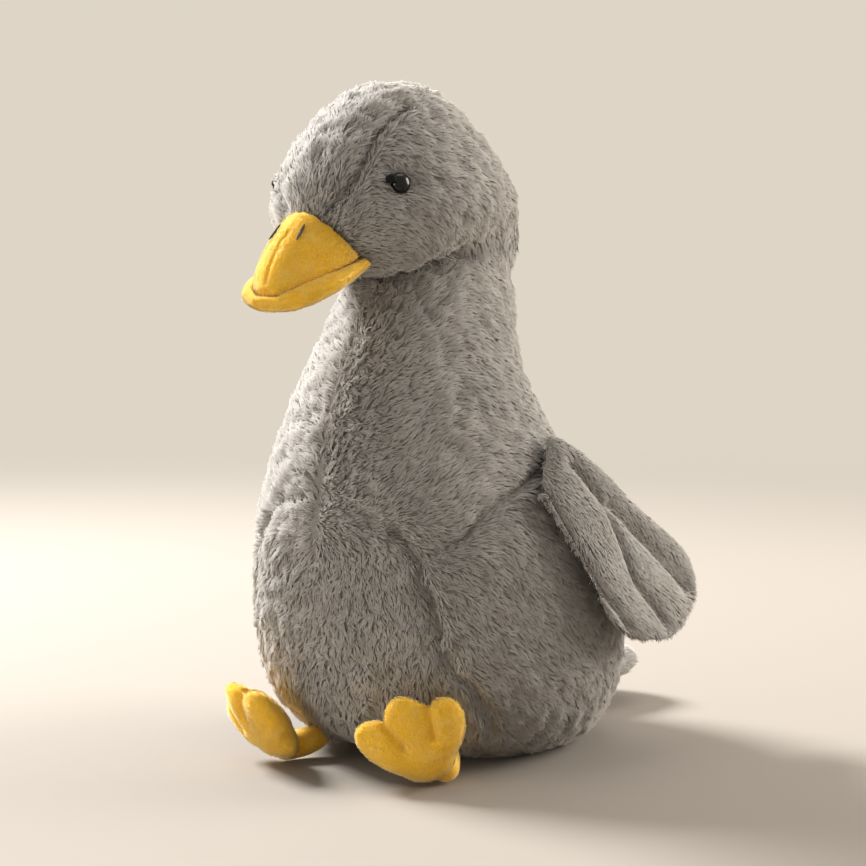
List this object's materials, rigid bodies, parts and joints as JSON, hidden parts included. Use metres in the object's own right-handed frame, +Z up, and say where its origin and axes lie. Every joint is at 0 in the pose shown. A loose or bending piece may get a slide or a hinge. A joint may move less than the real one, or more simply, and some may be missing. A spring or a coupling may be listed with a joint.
{
  "type": "plush duck",
  "caption": "Seated plush duck of soft grey plush, with a broad padded orange bill, quilted wings on the sides, webbed orange feet in front and a stub tail.",
  "frame": {"origin": "on the surface that the toy sits on, under the middle of its bounding box", "axes": "+Z up from the base to the crown, -Y towards the bill, +X towards the duck's own left"},
  "size_m": [0.239, 0.325, 0.3634],
  "materials": {
    "grey_plush": "long soft pile",
    "orange_velboa": "short dense pile",
    "polyester_filling": "loose fibre",
    "pouch_cotton": "plain weave",
    "eye_plastic": "polished",
    "washer_plastic": "as moulded",
    "black_thread": "stitched"
  },
  "bodies": {
    "torso": {"body_cover": "grey_plush", "base_panel": "grey_plush", "body_filling": "polyester_filling", "pellet_pouch": "pouch_cotton"},
    "head": {"head_cover": "grey_plush", "head_filling": "polyester_filling", "upper_bill": "orange_velboa", "bill_filling": "polyester_filling", "lower_bill": "orange_velboa", "left_eye": "eye_plastic", "left_eye_washer": "washer_plastic", "left_eye_corner": "black_thread", "left_nostril_stitch": "black_thread", "right_eye": "eye_plastic", "right_eye_washer": "washer_plastic", "right_eye_corner": "black_thread", "right_nostril_stitch": "black_thread"},
    "left_wing": {"left_wing": "grey_plush", "left_wing_wadding": "polyester_filling"},
    "right_wing": {"right_wing": "grey_plush", "right_wing_wadding": "polyester_filling"},
    "left_leg": {"left_leg": "orange_velboa"},
    "right_leg": {"right_leg": "orange_velboa"},
    "left_foot": {"left_foot": "orange_velboa", "left_foot_filling": "polyester_filling"},
    "right_foot": {"right_foot": "orange_velboa", "right_foot_filling": "polyester_filling"},
    "tail": {"tail": "grey_plush"}
  },
  "joints": [
    {"name": "head_nod", "type": "hinge", "parent": "torso", "child": "head", "pos_m": [0, -0.02455, 0.258], "axis": [1, 0, 0], "range_deg": [-8, 8], "stiffness_Nm_per_rad": 2},
    {"name": "left_wing_swing", "type": "hinge", "parent": "torso", "child": "left_wing", "pos_m": [0.08325, -0.03601, 0.15997], "axis": [0.2725, -0.5566, -0.7849], "range_deg": [0, 60], "stiffness_Nm_per_rad": 0.15},
    {"name": "right_wing_swing", "type": "hinge", "parent": "torso", "child": "right_wing", "pos_m": [-0.08325, -0.03601, 0.15997], "axis": [0.2725, 0.5566, 0.7849], "range_deg": [0, 60], "stiffness_Nm_per_rad": 0.15},
    {"name": "tail_flick", "type": "hinge", "parent": "torso", "child": "tail", "pos_m": [0, 0.10141, 0.02368], "axis": [1, 0, 0], "range_deg": [0, 20], "stiffness_Nm_per_rad": 0.15},
    {"name": "left_leg_swing", "type": "hinge", "parent": "torso", "child": "left_leg", "pos_m": [0.05284, -0.08048, 0.00971], "axis": [0.8191, 0.5736, 0], "range_deg": [0, 45], "stiffness_Nm_per_rad": 0.08},
    {"name": "right_leg_swing", "type": "hinge", "parent": "torso", "child": "right_leg", "pos_m": [-0.03293, -0.09099, 0.00948], "axis": [0.9336, -0.3584, 0], "range_deg": [0, 45], "stiffness_Nm_per_rad": 0.08},
    {"name": "left_foot_flop", "type": "hinge", "parent": "left_leg", "child": "left_foot", "pos_m": [0.05973, -0.09031, 0.0083], "axis": [0.8191, 0.5736, 0], "range_deg": [0, 24], "stiffness_Nm_per_rad": 0.05},
    {"name": "right_foot_flop", "type": "hinge", "parent": "right_leg", "child": "right_foot", "pos_m": [-0.03723, -0.10219, 0.0083], "axis": [0.9336, -0.3584, 0], "range_deg": [0, 24], "stiffness_Nm_per_rad": 0.05}
  ]
}
